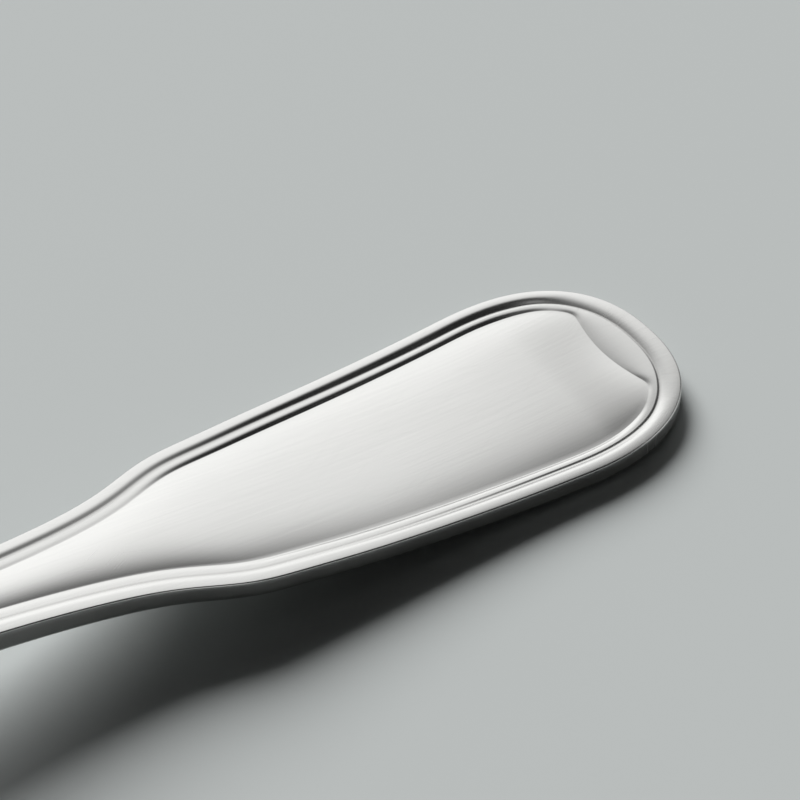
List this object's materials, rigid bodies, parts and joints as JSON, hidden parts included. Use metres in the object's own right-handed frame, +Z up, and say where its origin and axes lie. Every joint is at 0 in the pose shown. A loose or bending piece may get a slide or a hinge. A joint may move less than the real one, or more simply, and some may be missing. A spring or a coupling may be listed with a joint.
{
  "type": "table spoon",
  "caption": "Table spoon with an oval bowl, a slim arched stem and a broad fiddle-shaped handle edged with a struck double thread border.",
  "frame": {"origin": "middle of the spoon's plan, on the table it lies on", "axes": "+X along the spoon to the handle's end, +Y across it, +Z up out of the bowl"},
  "size_m": [0.208, 0.044, 0.0132],
  "materials": {
    "steel": "satin polished"
  },
  "bodies": {
    "root": {"spoon_body": "steel"}
  },
  "joints": []
}
